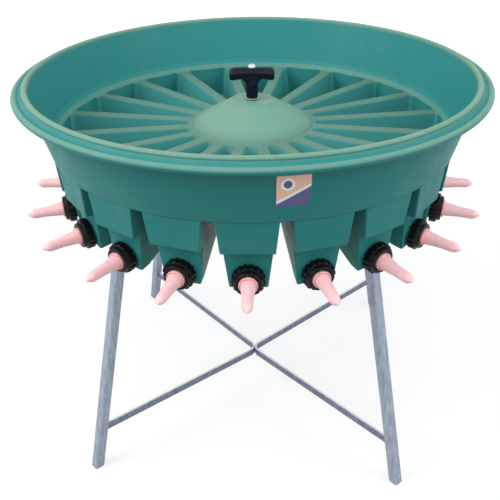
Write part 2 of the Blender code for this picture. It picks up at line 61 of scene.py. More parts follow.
# Floor and light: the floor is grey-brown in the light that it returns, and its lift makes it near
# white to the rays that show the background; the lift is weaker near the object, which paints shade
# round it
FLOOR_HALF = 40.0
FLOOR_COLOUR = (0.32, 0.30, 0.27)
FLOOR_LIFT = (0.64, 0.66, 0.69)
WORLD_TINT = (0.94, 0.975, 1.0)
WORLD_AT_HORIZON = 0.46
WORLD_OVERHEAD = 1.22
LAMP_TARGET = (0.0, 0.0, 0.7)
LAMPS = (("key", (-2.6, -1.0, 2.7), 72.0, 2.0, (1.0, 0.99, 0.97)),
         ("front", (0.2, -3.2, 3.0), 30.0, 2.6, (0.98, 0.99, 1.0)),
         ("fill", (2.6, -0.9, 2.4), 34.0, 2.0, (0.96, 0.98, 1.0)))

# Bowl
COMPARTMENTS = 20
SECTOR = 2.0 * math.pi / COMPARTMENTS
HALF_SECTOR = SECTOR / 2.0
TAN_HALF = math.tan(HALF_SECTOR)
COS_HALF = math.cos(HALF_SECTOR)
BELT_FOOT_RADIUS = 0.4815
BELT_FOOT_Z = 0.787
BELT_TOP_RADIUS = 0.513
BELT_TOP_Z = 0.903
BELT_FOOT_DEPTH = 0.013
BELT_FOOT_CORNER = BELT_FOOT_RADIUS - 0.0012
DISH_WALL_FOOT_RADIUS = BELT_FOOT_RADIUS - 0.0035
DISH_WALL_FOOT_Z = 0.827
LEDGE_RADIUS = BELT_FOOT_RADIUS - 0.0155
RIB_TOP_Z = 0.806
LIP_CENTRE = (0.5190, 0.9340)
LIP_BEAD = 0.0070
RIM_CENTRE = (0.5425, 0.9212)
RIM_BEAD = 0.0075
CONE_FOOT_RADIUS = 0.1480
CONE_UNDER_RADIUS = CONE_FOOT_RADIUS - 0.006
CONE_TOP_RADIUS = 0.0506
CONE_TOP_Z = 0.8638
ROD_HOLE_RADIUS = 0.0075
WALL = 0.005
PLATE_UNDER_Z = RIB_TOP_Z - WALL
LIP_START_RADIUS = 0.5105
RIM_GROOVE_RADIUS = 0.5325
STEP_Z = 0.7126
STEP_RADIUS = BELT_FOOT_RADIUS - 0.0088
POD_BELT_RADIUS = BELT_FOOT_RADIUS - 0.0031
STEP_SET_BACK = 0.0225
POD_FOOT_Z = 0.6174
POD_FOOT_RADIUS = STEP_RADIUS - STEP_SET_BACK - 0.0052
RIB_WALL = 0.0030
CELL_EDGE = 0.0040
CELL_CORNERS = (0.011, 0.010)
POD_CORNERS = (0.0030, 0.006)
INNER_END_RADIUS = CONE_FOOT_RADIUS + 0.0050
INNER_END_SLOPE = 0.5
FLOOR_TURN_RADIUS = POD_FOOT_RADIUS - 0.0265
FLOOR_EASE = 0.009
FLOOR_SLOPE = math.radians(21.6)
RIB_GAP_AT_TOP = 0.0222
RIB_GAP_AT_STEP = 0.0387
RIB_GAP_AT_FOOT = 0.0590

# Mesh columns round one compartment: at each end, corner and side, then in half of its loop,
# and from the middle of an end to the middle of its corner
FRONT_STEPS = 4
ARC_STEPS = 4
SIDE_STEPS = 12
HALF_COUNT = FRONT_STEPS + 2 * ARC_STEPS + SIDE_STEPS
FRONT_HALF = FRONT_STEPS // 2 + ARC_STEPS // 2

# Teat outlet, collar nut and teat
OUTLET_Z = 0.645
SPIGOT_RADIUS = 0.0255
SPIGOT_LENGTH = 0.0205
SPIGOT_BORE = 0.0105
NUT_LUGS = 16
NUT_START = 0.0035
NUT_LUG_LENGTH = 0.0205
NUT_RING_LENGTH = 0.0055
NUT_RADIUS = 0.0346
NUT_LUG_DEPTH = 0.0030
TEAT_REACH = 0.0852
TEAT_GROOVE_Z = NUT_START + NUT_LUG_LENGTH + NUT_RING_LENGTH + 0.0045

# Stand
STAND_YAW = math.radians(-3.1)
TUBE = 0.025
TUBE_WALL = 0.002
TUBE_CORNER = 0.0045
KNEE_RADIUS = POD_FOOT_RADIUS - 0.0458
LEG_LEAN = 0.238
ARM_SEAT = 0.0005
ARM_INNER_RADIUS = 0.0255
GAP = 0.0003
BRACE_HEIGHT = 0.021
BRACE_THICKNESS = 0.006
BRACE_END_Z = 0.112
BRACE_BEND_Z = 0.094
BRACE_BEND_RADIUS = 0.025
BRACE_BEND_STEPS = 16

# Sticker
LABEL_START = math.radians(6.1)
LABEL_END = math.radians(13.4)
LABEL_LOW_Z = 0.8265
LABEL_HIGH_Z = 0.8990
LABEL_LIFTS = (0.0003, 0.0008)
LABEL_RING = (0.34, 0.70)
LABEL_SLANT = 0.55
LABEL_BAND = 0.115

# T-handle and the rings under it
GRIP_Z = 0.9268
GRIP_RADIUS = 0.0138
GRIP_LENGTH = 0.108
GRIP_SWELL = 0.0013
GRIP_DROOP = 0.0040
STEM_RADIUS = 0.0143
FLARE_RADIUS = 0.0200
GRIP_VOXEL = 0.0009
SEAL_RADIUS = 0.0138
THRUST_RING_RADIUS = 0.0154
RING_EDGE = 0.0005


# Mesh helpers

def linked(name, data):
    item = bpy.data.objects.new(name, data)
    bpy.context.scene.collection.objects.link(item)
    return item


def from_bmesh(name, data, material, smooth_angle=None):
    mesh = bpy.data.meshes.new(name)
    data.to_mesh(mesh)
    data.free()
    mesh.materials.append(material)
    if smooth_angle is not None:
        mesh.shade_smooth()
        mesh.set_sharp_from_angle(angle=math.radians(smooth_angle))
    return linked(name, mesh)


def apply_modifiers(item):
    graph = bpy.context.evaluated_depsgraph_get()
    made = bpy.data.meshes.new_from_object(item.evaluated_get(graph))
    old = item.data
    item.modifiers.clear()
    item.data = made
    made.name = item.name
    bpy.data.meshes.remove(old)
    made.shade_smooth()


def add_piece(data, piece, place):
    # Moves a separate bmesh into another one.
    mesh = bpy.data.meshes.new("piece")
    piece.to_mesh(mesh)
    piece.free()
    mesh.transform(place)
    data.from_mesh(mesh)
    bpy.data.meshes.remove(mesh)


def arc(centre, radius, start, end, steps):
    # Points of a circular arc in an (r, z) section, angles in degrees.
    points = []
    for step in range(steps + 1):
        angle = math.radians(start + (end - start) * step / steps)
        points.append((centre[0] + radius * math.cos(angle), centre[1] + radius * math.sin(angle)))
    return points


def round_corner(point, before, after, radius, steps):
    here = Vector(point)
    a = (Vector(before) - here).normalized()
    b = (Vector(after) - here).normalized()
    half = a.angle(b) / 2.0
    centre = here + (a + b).normalized() * (radius / math.sin(half))
    first = here + a * (radius / math.tan(half)) - centre
    last = here + b * (radius / math.tan(half)) - centre
    turn = first.angle(last)
    points = []
    for step in range(steps + 1):
        share = step / steps
        ray = first * (math.sin((1.0 - share) * turn) / math.sin(turn))
        ray += last * (math.sin(share * turn) / math.sin(turn))
        points.append(centre + ray)
    return points


def fillet(points, index_radius, steps):
    # Rounds chosen corners of an open outline; index_radius maps a point's index to its radius.
    result = []
    for index, point in enumerate(points):
        if index in index_radius:
            result += round_corner(point, points[index - 1], points[index + 1],
                                   index_radius[index], steps)
        else:
            result.append(point)
    return result


def turn_outward(data):
    bmesh.ops.recalc_face_normals(data, faces=data.faces)
    if data.calc_volume(signed=True) < 0.0:
        bmesh.ops.reverse_faces(data, faces=data.faces)


def join_loops(data, first, second):
    # Faces between two closed loops: quads, or triangles where one loop is a single point.
    for step in range(len(first)):
        turn = (step + 1) % len(first)
        corners = list(dict.fromkeys([first[step], first[turn], second[turn], second[step]]))
        if len(corners) > 2:
            data.faces.new(corners)


def lathe(profile, steps, radius_at=None):
    # A closed (r, z) outline turned about Z. radius_at(r, z, angle) may reshape each point.
    data = bmesh.new()
    rings = []
    for radius, z in profile:
        if radius < 1e-7:
            rings.append([data.verts.new((0.0, 0.0, z))] * steps)
            continue
        ring = []
        for step in range(steps):
            angle = 2.0 * math.pi * step / steps
            r = radius_at(radius, z, angle) if radius_at else radius
            ring.append(data.verts.new((r * math.cos(angle), r * math.sin(angle), z)))
        rings.append(ring)
    for ring, following in zip(rings, rings[1:] + rings[:1]):
        join_loops(data, ring, following)
    turn_outward(data)
    return data


def facing_out(azimuth):
    return Matrix.Rotation(azimuth - math.pi / 2.0, 4, "Z")


def mix(a, b, share):
    return a + (b - a) * share


def between(first, last, shares):
    return [(mix(first[0], last[0], share), mix(first[1], last[1], share)) for share in shares]


# Shader helpers

def new_material(name):
    material = bpy.data.materials.new(name)
    material.use_nodes = True
    tree = material.node_tree
    return material, tree, tree.nodes["Principled BSDF"]


def add_node(tree, kind, **settings):
    node = tree.nodes.new(kind)
    for key, value in settings.items():
        setattr(node, key, value)
    return node


def set_inputs(node, **values):
    # "_" stands for a space in a socket's name.
    for name, value in values.items():
        node.inputs[name.replace("_", " ")].default_value = value


def object_place(tree):
    return add_node(tree, "ShaderNodeTexCoord").outputs["Object"]


def noise(tree, scale, detail, roughness=0.55, vector=None):
    node = add_node(tree, "ShaderNodeTexNoise")
    set_inputs(node, Scale=scale, Detail=detail, Roughness=roughness)
    if vector is None:
        vector = object_place(tree)
    tree.links.new(vector, node.inputs["Vector"])
    return node.outputs["Fac"]


def ranged(tree, value, low, high, to_low=0.0, to_high=1.0, smooth=True):
    node = add_node(tree, "ShaderNodeMapRange")
    if smooth:
        node.interpolation_type = "SMOOTHSTEP"
    set_inputs(node, From_Min=low, From_Max=high, To_Min=to_low, To_Max=to_high)
    tree.links.new(value, node.inputs["Value"])
    return node.outputs["Result"]


def feed(tree, sockets, values):
    # Links outputs to sockets, or sets their plain values.
    for socket, value in zip(sockets, values):
        if isinstance(value, bpy.types.NodeSocket):
            tree.links.new(value, socket)
        else:
            socket.default_value = value


def math_node(tree, operation, *values):
    node = add_node(tree, "ShaderNodeMath", operation=operation)
    feed(tree, node.inputs, values)
    return node.outputs["Value"]


def times(tree, a, b):
    return math_node(tree, "MULTIPLY", a, b)


def off_from(tree, value, centre):
    return math_node(tree, "ABSOLUTE", math_node(tree, "SUBTRACT", value, centre))


def mixed_colour(tree, factor, first, second, blend="MIX"):
    node = add_node(tree, "ShaderNodeMix", data_type="RGBA", blend_type=blend)
    feed(tree, (node.inputs[0], node.inputs[6], node.inputs[7]), (factor, first, second))
    return node.outputs[2]


def blended(tree, factor, first, second):
    # A plain value between two others.
    node = add_node(tree, "ShaderNodeMix", data_type="FLOAT")
    feed(tree, (node.inputs[0], node.inputs[2], node.inputs[3]), (factor, first, second))
    return node.outputs[0]


def bump(tree, shader, height, distance, strength):
    node = add_node(tree, "ShaderNodeBump")
    set_inputs(node, Strength=strength, Distance=distance)
    tree.links.new(height, node.inputs["Height"])
    tree.links.new(node.outputs["Normal"], shader.inputs["Normal"])


def split_xyz(tree, vector):
    node = add_node(tree, "ShaderNodeSeparateXYZ")
    tree.links.new(vector, node.inputs["Vector"])
    return node.outputs


def upward(tree):
    return split_xyz(tree, add_node(tree, "ShaderNodeNewGeometry").outputs["Normal"])["Z"]


def srgb(red, green, blue):
    # Linear colour of an 8-bit screen colour.
    def linear(value):
        value /= 255.0
        return value / 12.92 if value <= 0.04045 else ((value + 0.055) / 1.055) ** 2.4
    return (linear(red), linear(green), linear(blue), 1.0)


def length_of(tree, values):
    squares = [times(tree, value, value) for value in values]
    return math_node(tree, "SQRT", math_node(tree, "ADD", *squares))


def radius_out(tree):
    # Distance from the bowl's axis.
    place = split_xyz(tree, object_place(tree))
    return length_of(tree, [place["X"], place["Y"]])


def seen_ray(tree):
    # 1 for the rays that show the background: camera, glossy and transmission rays.
    path = add_node(tree, "ShaderNodeLightPath")
    mirrored_ray = math_node(tree, "MAXIMUM", path.outputs["Is Glossy Ray"],
                             path.outputs["Is Transmission Ray"])
    return math_node(tree, "MAXIMUM", path.outputs["Is Camera Ray"], mirrored_ray)


def surface(tree, shader, colour, scale, detail, rough_low, rough_high):
    # Links a colour, and a roughness that varies with a noise.
    tree.links.new(colour, shader.inputs["Base Color"])
    rough = ranged(tree, noise(tree, scale, detail), 0.3, 0.7, rough_low, rough_high)
    tree.links.new(rough, shader.inputs["Roughness"])


# Materials

def moulded_plastic():
    # Deep teal, with painted light: faces that look up are paler as a painted sheen of the light
    # from above, patchy on the cone, but not the groove behind the rim; faces that turn down are
    # painted deeper, and the dish inside the ledge is painted lighter.
    material, tree, shader = new_material("moulded_plastic")
    deep = srgb(41, 121, 119)
    painted_sheen_colour = srgb(117, 149, 128)
    facing = upward(tree)
    radius = radius_out(tree)
    # Masks of the painted sheen: paler where faces look up, as the light from above falls on them.
    on_ribs = times(tree, ranged(tree, facing, 0.12, 0.80, 0.0, 0.90),
                    ranged(tree, radius, LEDGE_RADIUS + 0.0020, LEDGE_RADIUS))
    on_cone = times(tree, ranged(tree, facing, 0.30, 0.80, 0.0, 0.86),
                    ranged(tree, noise(tree, 13.0, 3.0), 0.34, 0.66, 0.80, 1.10))
    on_edges = ranged(tree, facing, 0.0, 0.60, 0.0, 0.86)
    painted_sheen = blended(tree, ranged(tree, radius, 0.120, 0.160), on_cone, on_ribs)
    off_ledge = off_from(tree, radius, LEDGE_RADIUS + 0.0015)
    painted_sheen = blended(tree, ranged(tree, off_ledge, 0.0060, 0.0040), painted_sheen,
                       times(tree, on_edges, 0.6))
    on_edges = times(tree, on_edges, ranged(tree, radius, 0.533, 0.538, 1.0, 0.72))
    on_lip = ranged(tree, radius, LIP_START_RADIUS, LIP_START_RADIUS + 0.0015)
    painted_sheen = blended(tree, on_lip, painted_sheen, on_edges)
    # The groove behind the rim keeps the deep colour, without the painted sheen.
    off_groove = off_from(tree, radius, RIM_GROOVE_RADIUS)
    painted_sheen = times(tree, painted_sheen, ranged(tree, off_groove, 0.0042, 0.0072))
    patchy = ranged(tree, noise(tree, 9.0, 4.0), 0.35, 0.68, -0.05, 0.05)
    # Faces that turn down keep the deeper teal and the others the lighter: painted light from the
    # sky.
    painted_skylight_side = ranged(tree, facing, -0.05, 0.08)
    # Inside the ledge the teal is lighter: painted light that fills the dish and its compartments.
    in_cells = ranged(tree, radius, LEDGE_RADIUS + 0.0015, LEDGE_RADIUS - 0.0015)
    base = mixed_colour(tree, in_cells, srgb(46, 130, 128), srgb(70, 148, 145))
    base = mixed_colour(tree, painted_skylight_side, deep, base)
    # On the ribs the painted sheen takes a darker colour: painted shade under the rim.
    rib_zone = times(tree, ranged(tree, radius, 0.115, 0.160), in_cells)
    painted_sheen_colour = mixed_colour(tree, rib_zone, painted_sheen_colour, srgb(90, 123, 108))
    colour = mixed_colour(tree, math_node(tree, "ADD", painted_sheen, patchy), base, painted_sheen_colour)
    specks = ranged(tree, noise(tree, 420.0, 2.0), 0.42, 0.62, 0.95, 1.04)
    colour = mixed_colour(tree, 1.0, colour, specks, "MULTIPLY")
    surface(tree, shader, colour, 30.0, 3.0, 0.40, 0.52)
    set_inputs(shader, Specular_IOR_Level=0.11)
    fine = times(tree, noise(tree, 900.0, 2.0), 0.25)
    bump(tree, shader, math_node(tree, "ADD", fine, noise(tree, 55.0, 2.0)), 0.0004, 0.4)
    return material


def black_nylon(name, dark, light):
    material, tree, shader = new_material(name)
    wear = ranged(tree, noise(tree, 140.0, 4.0), 0.4, 0.72)
    colour = mixed_colour(tree, wear, dark, light)
    surface(tree, shader, colour, 260.0, 3.0, 0.30, 0.44)
    set_inputs(shader, Specular_IOR_Level=0.16)
    bump(tree, shader, noise(tree, 1500.0, 2.0), 0.0002, 0.3)
    return material


def teat_rubber():
    material, tree, shader = new_material("teat_rubber")
    blotch = ranged(tree, noise(tree, 70.0, 3.0), 0.3, 0.7)
    colour = mixed_colour(tree, blotch, srgb(248, 190, 194), srgb(252, 203, 206))
    # Darker salmon in the groove under the collar: painted shade.
    groove = off_from(tree, split_xyz(tree, object_place(tree))["Z"], TEAT_GROOVE_Z)
    colour = mixed_colour(tree, ranged(tree, groove, 0.0024, 0.0004, 0.0, 0.55), colour,
                          srgb(232, 138, 124))
    speck = ranged(tree, noise(tree, 1300.0, 2.0), 0.55, 0.72, 0.0, 0.25)
    colour = mixed_colour(tree, speck, colour, srgb(230, 160, 166))
    surface(tree, shader, colour, 300.0, 2.0, 0.42, 0.58)
    set_inputs(shader, Specular_IOR_Level=0.35, Subsurface_Weight=0.12,
               Subsurface_Radius=(0.006, 0.002, 0.0015), Subsurface_Scale=1.0)
    bump(tree, shader, noise(tree, 1400.0, 2.0), 0.0003, 0.35)
    return material


def galvanised_steel(name, dark, light):
    # Streaks run down the bars, under a faint spangle, and faces that look up are paler: painted
    # light from above.
    material, tree, shader = new_material(name)
    place = object_place(tree)
    stretch = add_node(tree, "ShaderNodeMapping")
    set_inputs(stretch, Scale=(1.0, 1.0, 0.10))
    tree.links.new(place, stretch.inputs["Vector"])
    streak = noise(tree, 130.0, 4.0, vector=stretch.outputs["Vector"])
    cells = add_node(tree, "ShaderNodeTexVoronoi")
    set_inputs(cells, Scale=160.0)
    tree.links.new(place, cells.inputs["Vector"])
    split = add_node(tree, "ShaderNodeSeparateColor")
    tree.links.new(cells.outputs["Color"], split.inputs["Color"])
    tone = math_node(tree, "ADD", times(tree, split.outputs[0], 0.12), streak)
    colour = mixed_colour(tree, ranged(tree, tone, 0.36, 0.76), dark, light)
    # Paler where faces look up: painted light from above.
    painted_top_light = ranged(tree, upward(tree), 0.35, 0.85, 0.0, 0.75)
    colour = mixed_colour(tree, painted_top_light, colour, srgb(236, 240, 246))
    stain = ranged(tree, noise(tree, 46.0, 5.0, 0.7), 0.60, 0.80, 0.0, 0.30)
    colour = mixed_colour(tree, stain, colour, srgb(222, 229, 238))
    tree.links.new(colour, shader.inputs["Base Color"])
    set_inputs(shader, Metallic=0.45)
    rough = ranged(tree, split.outputs[1], 0.0, 1.0, 0.40, 0.52, smooth=False)
    tree.links.new(rough, shader.inputs["Roughness"])
    bump(tree, shader, noise(tree, 260.0, 4.0), 0.0002, 0.4)
    return material


def bright_steel():
    material, tree, shader = new_material("bright_steel")
    shade = ranged(tree, noise(tree, 200.0, 4.0), 0.35, 0.7)
    colour = mixed_colour(tree, shade, srgb(206, 208, 212), srgb(238, 239, 241))
    surface(tree, shader, colour, 500.0, 3.0, 0.14, 0.28)
    set_inputs(shader, Metallic=0.85)
    bump(tree, shader, noise(tree, 700.0, 3.0), 0.0001, 0.3)
    return material


def seal_rubber():
    material, tree, shader = new_material("seal_rubber")
    dust = ranged(tree, noise(tree, 260.0, 4.0), 0.45, 0.75, 0.0, 0.5)
    colour = mixed_colour(tree, dust, srgb(30, 34, 34), srgb(62, 76, 72))
    tree.links.new(colour, shader.inputs["Base Color"])
    set_inputs(shader, Roughness=0.75)
    bump(tree, shader, noise(tree, 1200.0, 2.0), 0.0002, 0.4)
    return material


def label_film():
    material, tree, shader = new_material("label_film")
    low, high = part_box("belt_label")
    place = split_xyz(tree, object_place(tree))
    across = ranged(tree, place["X"], low[0], high[0], smooth=False)
    up = ranged(tree, place["Z"], low[2], high[2], smooth=False)
    blue, peach, white = srgb(52, 58, 122), srgb(226, 186, 160), srgb(238, 238, 236)
    slant = math_node(tree, "SUBTRACT", up, times(tree, across, LABEL_SLANT))
    band = ranged(tree, slant, 0.10, 0.13)
    colour = mixed_colour(tree, band, blue, peach)
    edge = off_from(tree, slant, LABEL_BAND)
    colour = mixed_colour(tree, ranged(tree, edge, 0.055, 0.035), colour, white)
    reach = length_of(tree, [off_from(tree, across, LABEL_RING[0]),
                             off_from(tree, up, LABEL_RING[1])])
    colour = mixed_colour(tree, ranged(tree, reach, 0.20, 0.18), colour, white)
    colour = mixed_colour(tree, ranged(tree, reach, 0.13, 0.11), colour, blue)
    frame_edge = math_node(tree, "MINIMUM", math_node(tree, "MINIMUM", across, up), math_node(
        tree, "MINIMUM", math_node(tree, "SUBTRACT", 1.0, across),
        math_node(tree, "SUBTRACT", 1.0, up)))
    colour = mixed_colour(tree, ranged(tree, frame_edge, 0.035, 0.020), colour, blue)
    ink = ranged(tree, noise(tree, 600.0, 3.0), 0.4, 0.7, 0.0, 0.10)
    colour = mixed_colour(tree, ink, colour, white)
    tree.links.new(colour, shader.inputs["Base Color"])
    set_inputs(shader, Roughness=0.38)
    bump(tree, shader, noise(tree, 300.0, 2.0), 0.0002, 0.2)
    return material


# Bowl: inside and outside of one compartment as loops of matching columns

def rib_gap(z):
    if z > STEP_Z:
        return mix(RIB_GAP_AT_STEP, RIB_GAP_AT_TOP, (z - STEP_Z) / (RIB_TOP_Z - STEP_Z))
    return mix(RIB_GAP_AT_FOOT, RIB_GAP_AT_STEP, (z - POD_FOOT_Z) / (STEP_Z - POD_FOOT_Z))


def upper_front(z):
    return mix(STEP_RADIUS, POD_BELT_RADIUS, (z - STEP_Z) / (BELT_FOOT_Z - STEP_Z))


def lower_front(z):
    share = (z - POD_FOOT_Z) / (STEP_Z - POD_FOOT_Z)
    return mix(POD_FOOT_RADIUS, STEP_RADIUS - STEP_SET_BACK, share)


def floor_z(radius):
    # Level behind the front wall, then rising towards the bowl's middle, with an eased bend.
    inward = FLOOR_TURN_RADIUS - radius
    if inward < FLOOR_EASE:
        inward = max(inward + FLOOR_EASE, 0.0) ** 2 / (4.0 * FLOOR_EASE)
    return POD_FOOT_Z + inward * math.tan(FLOOR_SLOPE)


def inner_end_radius(z):
    return INNER_END_RADIUS + (RIB_TOP_Z - z) * INNER_END_SLOPE


def half_outline(front, inner, gap, corners, side_shares):
    # One side of a compartment's plan outline, from the middle of its front to the middle
    # of its inner end, as (outward, sideways) points.
    def width(radius):
        return radius * TAN_HALF - gap / 2.0 / COS_HALF
    front_corner, inner_corner = corners
    inner_corner = min(inner_corner, 0.85 * width(inner))
    corner_a = (front, width(front))
    corner_b = (inner, width(inner))
    arc_a = round_corner(corner_a, (front, 0.0), corner_b, front_corner, ARC_STEPS)
    arc_b = round_corner(corner_b, corner_a, (inner, 0.0), inner_corner, ARC_STEPS)
    half_front = FRONT_STEPS // 2
    points = [Vector((front, arc_a[0].y * step / half_front)) for step in range(half_front)]
    points += arc_a
    points += [arc_a[-1].lerp(arc_b[0], share) for share in side_shares]
    points += arc_b
    points += [Vector((inner, arc_b[-1].y * (1.0 - (step + 1) / half_front)))
               for step in range(half_front)]
    return points


def boundary_half(outer, inner, columns):
    # The sector's own edge with one point for each column of half_outline.
    angles = [HALF_SECTOR * index / FRONT_HALF for index in range(FRONT_HALF + 1)]
    front, back = ([Vector((radius * math.cos(a), radius * math.sin(a))) for a in angles]
                   for radius in (outer, inner))
    side = []
    for column in columns[FRONT_HALF + 1:HALF_COUNT - FRONT_HALF]:
        along = min(max(column.x, inner * COS_HALF), outer * COS_HALF)
        side.append(Vector((along, along * TAN_HALF)))
    return front + side + back[::-1]


def mirrored(half):
    # Closed loop from its half: (x, y, z) points, first the half itself, then its mirror.
    return half + [Vector((p.x, -p.y, p.z)) for p in reversed(half[1:-1])]


def build_cell(loops, cap_z):
    # Quads between successive closed loops, then a grid over the last loop.
    verts = [tuple(p) for loop in loops for p in loop]
    count = len(loops[0])
    faces = []
    for row in range(len(loops) - 1):
        for column in range(count):
            turn = (column + 1) % count
            faces.append((row * count + column, row * count + turn,
                          (row + 1) * count + turn, (row + 1) * count + column))
    base = (len(loops) - 1) * count
    across = 2 * FRONT_HALF
    along = HALF_COUNT - 2 * FRONT_HALF
    grid = {}
    for i in range(along + 1):
        grid[(i, across)] = base + (FRONT_HALF + i) % count
        grid[(i, 0)] = base + (count - FRONT_HALF - i) % count
    for j in range(across + 1):
        grid[(0, j)] = base + (j - FRONT_HALF) % count
        grid[(along, j)] = base + (HALF_COUNT + FRONT_HALF - j) % count

    def at(a, b):
        return Vector(verts[grid[(a, b)]])
    for i in range(1, along):
        for j in range(1, across):
            u = i / along
            v = j / across
            point = at(0, j) * (1 - u) + at(along, j) * u + at(i, 0) * (1 - v) + at(i, across) * v
            point -= (at(0, 0) * (1 - u) * (1 - v) + at(along, 0) * u * (1 - v)
                      + at(0, across) * (1 - u) * v + at(along, across) * u * v)
            grid[(i, j)] = len(verts)
            verts.append((point.x, point.y, cap_z(point.x)))
    for i in range(along):
        for j in range(across):
            faces.append((grid[(i, j)], grid[(i + 1, j)], grid[(i + 1, j + 1)], grid[(i, j + 1)]))
    return verts, faces


def wall_loop(front_z, front, rows, extra_inset=0.0):
    # One loop of a compartment's wall: the front columns lie at front_z, the others at the
    # same share of their own height, because the floor slopes.
    top_z, low_front_z = rows["top"], rows["floor"](rows["floor_front"])
    share = (top_z - front_z) / (top_z - low_front_z)
    half = []
    for index in range(HALF_COUNT + 1):
        column_top = rows["column_top"](index)
        z = front_z
        for _ in range(8):
            point = half_outline(
                front - extra_inset, rows["inner"](z) + extra_inset,
                rib_gap(z) + 2.0 * (rows["inset"] + extra_inset),
                rows["corners"], rows["shares"])[index]
            z = column_top - share * (column_top - rows["floor"](point.x))
        half.append(Vector((point.x, point.y, z)))
    return mirrored(half)


def foot_loops(rows, foot, front_at, soften, steps):
    # The rounding between a compartment's walls and its floor.
    loops = []
    for step in range(steps + 1):
        angle = math.radians(90.0 * step / steps)
        z = foot + soften * (1.0 - math.sin(angle))
        loops.append(wall_loop(z, front_at(z), rows, soften * (1.0 - math.cos(angle))))
    return loops


def inside_cell():
    def lower(z):
        return lower_front(z) - WALL
    rise = WALL / math.cos(FLOOR_SLOPE)
    front_top = LEDGE_RADIUS - 0.0005
    shares = [(step + 1) / SIDE_STEPS for step in range(SIDE_STEPS - 1)]
    edge = CELL_EDGE
    inner = inner_end_radius(RIB_TOP_Z - edge)
    outline = half_outline(front_top, inner - edge, rib_gap(RIB_TOP_Z) + 2.0 * (RIB_WALL - edge),
                           CELL_CORNERS, shares)
    limit = boundary_half(LEDGE_RADIUS, CONE_FOOT_RADIUS, outline)
    loops = [mirrored([Vector((p.x, p.y, RIB_TOP_Z)) for p in limit])]
    steps = 5
    for step in range(steps):
        angle = math.radians(90.0 * step / steps)
        out = 1.0 - math.sin(angle)
        z = RIB_TOP_Z - edge * (1.0 - math.cos(angle))
        half = half_outline(front_top + 0.00036 * out, inner - edge * out,
                            rib_gap(z) + 2.0 * (RIB_WALL - edge * out), CELL_CORNERS, shares)
        loops.append(mirrored([Vector((p.x, p.y, z)) for p in half]))
    rows = {"top": RIB_TOP_Z - edge, "inner": inner_end_radius, "inset": RIB_WALL,
            "corners": CELL_CORNERS, "shares": shares, "floor_front": lower(POD_FOOT_Z + rise),
            "floor": lambda r: floor_z(r) + rise, "column_top": lambda index: RIB_TOP_Z - edge}
    step_z = STEP_Z + WALL
    step_front = lower(step_z)
    plan = [(z, front_top) for z in (RIB_TOP_Z - edge, 0.780, 0.755, 0.735, step_z + 0.005)]
    plan += [(step_z + 0.0016, front_top - 0.0013),
             (step_z + 0.0004, front_top - 0.005), (step_z, step_front + 0.004),
             (step_z - 0.0010, step_front + 0.0010), (step_z - 0.004, step_front)]
    plan += [(z, lower(z)) for z in (0.695, 0.675, 0.655)]
    loops += [wall_loop(z, front, rows) for z, front in plan]
    loops += foot_loops(rows, POD_FOOT_Z + rise + 0.0016, lower, 0.008, 4)
    return build_cell(loops, lambda r: floor_z(r) + rise + 0.0002)


def outside_cell():
    corner = POD_CORNERS[0]
    skirt_inner = BELT_FOOT_RADIUS - BELT_FOOT_DEPTH
    inner = inner_end_radius(PLATE_UNDER_Z) - WALL

    # Two columns keep to the skirt's inner edge, and the others share the rest of the side.
    start, end = POD_BELT_RADIUS - corner, inner + corner
    shares = [(start - mark) / (start - end) for mark in (skirt_inner + 0.0012, skirt_inner)]
    last, rest = shares[-1], SIDE_STEPS - 1 - len(shares)
    shares += [mix(last, 1.0, (step + 1) / (rest + 1)) for step in range(rest)]
    first_low = FRONT_STEPS // 2 + ARC_STEPS + 1

    def column_top(index):
        return BELT_FOOT_Z if index <= first_low else PLATE_UNDER_Z
    outline = half_outline(POD_BELT_RADIUS, inner, rib_gap(BELT_FOOT_Z), POD_CORNERS, shares)
    limit = boundary_half(BELT_FOOT_CORNER, CONE_UNDER_RADIUS, outline)
    loops = [mirrored([Vector((p.x, p.y, column_top(index))) for index, p in enumerate(limit)])]
    rows = {"top": BELT_FOOT_Z, "inner": lambda z: inner_end_radius(z) - WALL, "inset": 0.0,
            "corners": POD_CORNERS, "shares": shares, "floor_front": POD_FOOT_RADIUS,
            "floor": floor_z, "column_top": column_top}
    round_step = 0.0026
    lower_step = lower_front(STEP_Z)
    plan = [(BELT_FOOT_Z, POD_BELT_RADIUS)]
    plan += [(z, upper_front(z)) for z in (0.765, 0.740, STEP_Z + round_step)]
    for angle in (30.0, 60.0, 90.0):
        turn = math.radians(angle)
        plan.append((STEP_Z + round_step * (1.0 - math.sin(turn)),
                     upper_front(STEP_Z) - round_step * (1.0 - math.cos(turn))))
    plan += [(STEP_Z - 0.0005, mix(STEP_RADIUS, lower_step, 0.55)),
             (STEP_Z - 0.0010, lower_step + 0.0022),
             (STEP_Z - 0.0018, lower_step + 0.0006), (STEP_Z - 0.0040, lower_step - 0.0001)]
    plan += [(z, lower_front(z)) for z in (0.690, 0.665, 0.640)]
    loops += [wall_loop(z, front, rows) for z, front in plan]
    loops += foot_loops(rows, POD_FOOT_Z, lower_front, 0.0028, 3)
    return build_cell(loops, floor_z)


